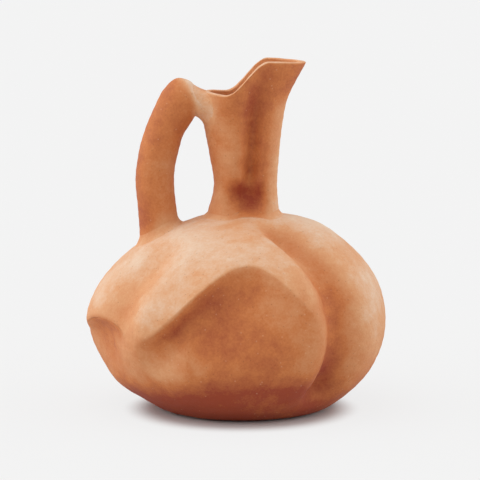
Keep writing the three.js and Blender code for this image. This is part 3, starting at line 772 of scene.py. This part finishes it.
# Sections from root to foot: share of the way out from neck to grip, share of the neck's height below
# the rim, lean in degrees, and thickness as a share of the grip's
HANDLE_SECTIONS = [
    (-HANDLE_ROOT_EMBED / GRIP_REACH, 0.12, 90, 0.74),
    (0.05, 0.082, 90, 0.74),
    (0.235, 0.03, 78, 0.95),
    (0.4, 0.045, 69, 1.17),
    (0.57, 0.116, 57, 1.14),
    (0.72, 0.226, 45, 1.04),
    (0.845, 0.356, 31, 1),
    (0.965, 0.53, 21, 1),
    (1.01, 0.745, 8, 1),
    (0.935, (RIM - HANDLE_FOOT - HANDLE_EMBED) / NECK_HEIGHT, 0, 1),
    (0.92, (RIM - HANDLE_FOOT + HANDLE_FOOT_EMBED) / NECK_HEIGHT, 0, 1),
]
SPINE_STEPS = 600
out, below, lean, thick = np.array(HANDLE_SECTIONS).T
section_middles = np.stack([-CHEEK_REACH - GRIP_REACH * out, RIM - NECK_HEIGHT * below], -1)
leaning = np.stack([-np.cos(np.radians(lean)), np.sin(np.radians(lean))], -1)
half_sections = leaning * (HANDLE_THICKNESS / 2 * thick)[:, None]
spine_shares = np.linspace(0, 1, SPINE_STEPS)
spine = curve_through(section_middles, spine_shares)
walked = np.concatenate([[0], np.cumsum(np.linalg.norm(np.diff(spine, axis=0), axis=-1))])


def handle_at(side, distance, inset=0):
    """A place on the handle, by the turn round its oval and the distance along its spine."""
    side, distance = np.broadcast_arrays(side, distance)
    share = np.interp(distance, walked, spine_shares)
    outer = curve_through(section_middles + half_sections, share)
    inner = curve_through(section_middles - half_sections, share)
    half = (outer - inner) / 2
    half *= 1 - inset / np.linalg.norm(half, axis=-1, keepdims=True)
    x, z = np.moveaxis((outer + inner) / 2 + half * np.cos(side)[..., None], -1, 0)
    return np.stack([x, (HANDLE_WIDTH / 2 - inset) * np.sin(side), z], -1)


def neck_reach(y, z):
    """How far the neck reaches towards the handle, at a place across it and a height."""
    share = np.clip((z - NECK_FOOT) / NECK_HEIGHT, 0, 1)
    to_handle, _, half_width = np.moveaxis(curve_through(NECK_OUTLINE, share), -1, 0)
    return to_handle * np.sqrt(np.clip(1 - (y / half_width) ** 2, 0, 1))


HANDLE_SIDES = 96
HANDLE_ROWS = 110
HANDLE_SINK = 0.6
ROOT_SEARCH = 32
FOOT_SEARCH = 36
SEARCH_STEPS = 120
sides = np.linspace(0, 2 * math.pi, HANDLE_SIDES, endpoint=False)
near_neck = np.linspace(0, ROOT_SEARCH, SEARCH_STEPS)
start = handle_at(sides[None, :], near_neck[:, None])
root = first_clear(-start[..., 0] - neck_reach(start[..., 1], start[..., 2]), near_neck)
near_dome = np.linspace(walked[-1], walked[-1] - FOOT_SEARCH, SEARCH_STEPS)
end = handle_at(sides[None, :], near_dome[:, None])
foot = first_clear(end[..., 2] - dome_height(end[..., 0], end[..., 1]), near_dome)
shares = np.linspace(0, 1, HANDLE_ROWS)[:, None]
handle_grid = handle_at(sides, root - HANDLE_SINK + (foot - root + 2 * HANDLE_SINK) * shares)

# The handle's ends are paler, over these distances from where it is set on: painted light on the top
# of the bridge at the neck, and a paler foot at the dome. Its inner side and upper faces take painted
# light too.
HANDLE_PALE = 0.3
HANDLE_PAINTED_LIGHT_TOWARDS = (0.12, 0, 0.04)
BRIDGE_PAINTED_LIGHT = 0.5
BRIDGE_FROM = 7
BRIDGE_TO = 13
SETTLED_PALE = 0.2
SETTLED_FROM = 4
SETTLED_TO = 12
bridge = 1 - smoothstep((foot - root) * shares, BRIDGE_FROM, BRIDGE_TO)
settled = smoothstep((foot - root) * (shares - 1), -SETTLED_TO, -SETTLED_FROM)
# Painted light: the handle's inner side and upper faces are paler.
handle_pale = HANDLE_PALE + facing(handle_grid, False) @ HANDLE_PAINTED_LIGHT_TOWARDS
handle_pale = handle_pale + BRIDGE_PAINTED_LIGHT * bridge + SETTLED_PALE * settled
handle = clay_piece("pulled_handle", worked(handle_grid, False), handle_pale, False)
handle.data.materials.append(orange_clay)
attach(handle, "root")
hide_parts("handle")

# Handle luting coils: soft clay smeared round both ends of the handle, thick in the corner and
# feathered out along the handle, the neck and the dome. Both are pale, most of all on the dome
# and on the handle's upper end, where the paleness is painted light, going on from the bridge's.
TOP_COIL_SPREAD = 5
TOP_COIL_HEIGHT = 8
TOP_COIL_PAINTED_LIGHT = (0.58, 0.8)
FOOT_COIL_SPREAD = 5
FOOT_COIL_HEIGHT = 7
FOOT_COIL_PALE = (0.8, 0.5)
WIPED_FROM = 1
WIPED_TO = 3


def handle_coil(name, node, seat, upward, height, spread, settle, pale_ends):
    """A cove round one end of the handle. settle puts a place beside the handle on what it stands on."""
    corner = handle_at(sides, seat)
    upper = handle_at(sides, seat + upward * height, COVE_SINK)
    aside = corner - corner.mean(0)
    aside /= np.linalg.norm(aside, axis=-1, keepdims=True)
    face, sunk = cove(upper, corner, settle(corner + spread * aside))
    pale = np.linspace(*pale_ends, COVE_ROWS)[:, None] + np.zeros(face.shape[:2])
    face, pale = (face, pale) if upward > 0 else (face[::-1], pale[::-1])
    grid = np.concatenate([worked(face, False), sunk[None]])
    coil = clay_piece(name, grid, np.concatenate([pale, pale[:1]]), True)
    coil.data.materials.append(orange_clay)
    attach(coil, "root")
    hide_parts(node)


def onto_neck(place):
    """Beside the handle the coil lies on the neck's face, and on top it is wiped over the lip."""
    edge = RIM + CHEEK_RISE
    over = smoothstep(place[:, 2], edge - WIPED_FROM, edge + WIPED_TO)
    height = np.minimum(place[:, 2], edge) + RIM_CROWN * over - COVE_SINK
    reach = neck_reach(place[:, 1], height) - COVE_SINK - NECK_WALL / 2 * over
    return np.stack([-reach, place[:, 1], height], -1)


def onto_dome(place):
    return np.stack([place[:, 0], place[:, 1], dome_height(place[:, 0], place[:, 1]) - COVE_SINK], -1)


handle_coil("handle_top_luting_coil_smoothed", "handle_top_luting_coil", root, 1, TOP_COIL_HEIGHT,
            TOP_COIL_SPREAD, onto_neck, TOP_COIL_PAINTED_LIGHT)
handle_coil("handle_foot_luting_coil_smoothed", "handle_foot_luting_coil", foot, -1, FOOT_COIL_HEIGHT,
            FOOT_COIL_SPREAD, onto_dome, FOOT_COIL_PALE)

# Table top: a wide board with matt pale paint, on which the pot stands loose. Round the foot it keeps
# the pot's soft shadow, and further out it washes to an even pale ground. Lengths are metres.
TABLE_REACH = 12
BOARD_PAINT = (0.73, 0.73, 0.73, 1)
BOARD_GLOW = 0.9
BOARD_WASH = 0.88
SHADOW_MIDDLE = (-0.001, -0.009, 0)
SHADOW_NEAR = 0.046
SHADOW_FAR = 0.064
table_mesh = bpy.data.meshes.new("table_top")
table_corners = [(-TABLE_REACH, -TABLE_REACH, 0), (TABLE_REACH, -TABLE_REACH, 0),
                 (TABLE_REACH, TABLE_REACH, 0), (-TABLE_REACH, TABLE_REACH, 0)]
table_mesh.from_pydata(table_corners, [], [(0, 1, 2, 3)])
table_top = bpy.data.objects.new("table_top", table_mesh)
bpy.context.scene.collection.objects.link(table_top)
board = bpy.data.materials.new("pale_board")
board.use_nodes = True
board_tree = board.node_tree
board_tree.nodes.clear()
paint = add_node(board_tree, "ShaderNodeBsdfDiffuse", {"Color": BOARD_PAINT}).outputs["BSDF"]
glow = add_node(board_tree, "ShaderNodeEmission", {"Strength": BOARD_GLOW}).outputs["Emission"]
on_board = add_node(board_tree, "ShaderNodeTexCoord", {}).outputs["Object"]
apart = {0: on_board, 1: SHADOW_MIDDLE}
from_shadow = add_node(board_tree, "ShaderNodeVectorMath", apart, operation="DISTANCE").outputs["Value"]
wash = {"Value": from_shadow, "From Min": SHADOW_NEAR, "From Max": SHADOW_FAR, "To Max": BOARD_WASH}
washed = add_node(board_tree, "ShaderNodeMapRange", wash, interpolation_type="SMOOTHSTEP").outputs["Result"]
rays = add_node(board_tree, "ShaderNodeLightPath", {}).outputs
mirrored = reckon(board_tree, "MAXIMUM", rays["Is Glossy Ray"], rays["Is Transmission Ray"])
seen = reckon(board_tree, "MAXIMUM", rays["Is Camera Ray"], mirrored)
glowing = reckon(board_tree, "MULTIPLY", seen, washed)
either = add_node(board_tree, "ShaderNodeMixShader", {"Fac": glowing, 1: paint, 2: glow}).outputs["Shader"]
add_node(board_tree, "ShaderNodeOutputMaterial", {"Surface": either})
table_mesh.materials.append(board)

# Studio light: a white tent with a bright ceiling, brighter walls to the left and right, and little
# from the front, so that the folds and dents show. A wide softbox hangs over it.
TENT_LIGHT = 0.3
CEILING_LIGHT = 0.6
CEILING_FOCUS = 1.5
WALL_LIGHT = 1.5
WALL_FOCUS = 3.0
SIDE_LIGHT = 0.32
LEFT_LIGHT = 0.25
FRONT_LIGHT = -0.25
SOFTBOX_STRENGTH = 0.6
SOFTBOX_ANGLE = 60
SOFTBOX_SHINES = (0.35, 0.35, -1)
tent = bpy.data.worlds.new("studio")
bpy.context.scene.world = tent
tent.use_nodes = True
tent_tree = tent.node_tree
background = tent_tree.nodes["Background"]
background.inputs["Color"].default_value = (1, 1, 1, 1)
towards = add_node(tent_tree, "ShaderNodeTexCoord", {}).outputs["Generated"]
axes = add_node(tent_tree, "ShaderNodeSeparateXYZ", {"Vector": towards}).outputs
ceiling = reckon(tent_tree, "POWER", reckon(tent_tree, "MAXIMUM", axes["Z"], 0.0), CEILING_FOCUS)
sideways = reckon(tent_tree, "ABSOLUTE", axes["X"])
walls = reckon(tent_tree, "POWER", sideways, WALL_FOCUS)
left = reckon(tent_tree, "MAXIMUM", reckon(tent_tree, "MULTIPLY", axes["X"], -1.0), 0.0)
front = reckon(tent_tree, "MAXIMUM", reckon(tent_tree, "MULTIPLY", axes["Y"], -1.0), 0.0)
light = TENT_LIGHT
for side, strength in ((ceiling, CEILING_LIGHT), (walls, WALL_LIGHT), (sideways, SIDE_LIGHT),
                       (left, LEFT_LIGHT), (front, FRONT_LIGHT)):
    light = reckon(tent_tree, "MULTIPLY_ADD", side, strength, light)
tent_tree.links.new(light, background.inputs["Strength"])

sun = bpy.data.lights.new("overhead_softbox", "SUN")
sun.energy = SOFTBOX_STRENGTH
sun.angle = math.radians(SOFTBOX_ANGLE)
softbox = bpy.data.objects.new("overhead_softbox", sun)
softbox.rotation_euler = Vector(SOFTBOX_SHINES).to_track_quat("-Z", "Y").to_euler()
bpy.context.scene.collection.objects.link(softbox)

# Camera: stands straight in front of the largest dent, with a long lens, and looks down on the
# middle of the pot from a little above. Lengths are metres.
VIEW_WIDTH = 0.2544
LENS = 180
SENSOR = 36
ELEVATION = math.radians(8)
AIM = Vector((-0.0016, 0, 0.0888))
camera = bpy.data.cameras.new("camera")
camera.lens = LENS
camera.sensor_width = SENSOR
view_from = bpy.data.objects.new("camera", camera)
back = Vector((0, -math.cos(ELEVATION), math.sin(ELEVATION)))
view_from.location = AIM + back * VIEW_WIDTH * LENS / SENSOR
view_from.rotation_euler = (-back).to_track_quat("-Z", "Y").to_euler()
bpy.context.scene.collection.objects.link(view_from)
bpy.context.scene.camera = view_from
bpy.context.scene.view_settings.view_transform = "Standard"
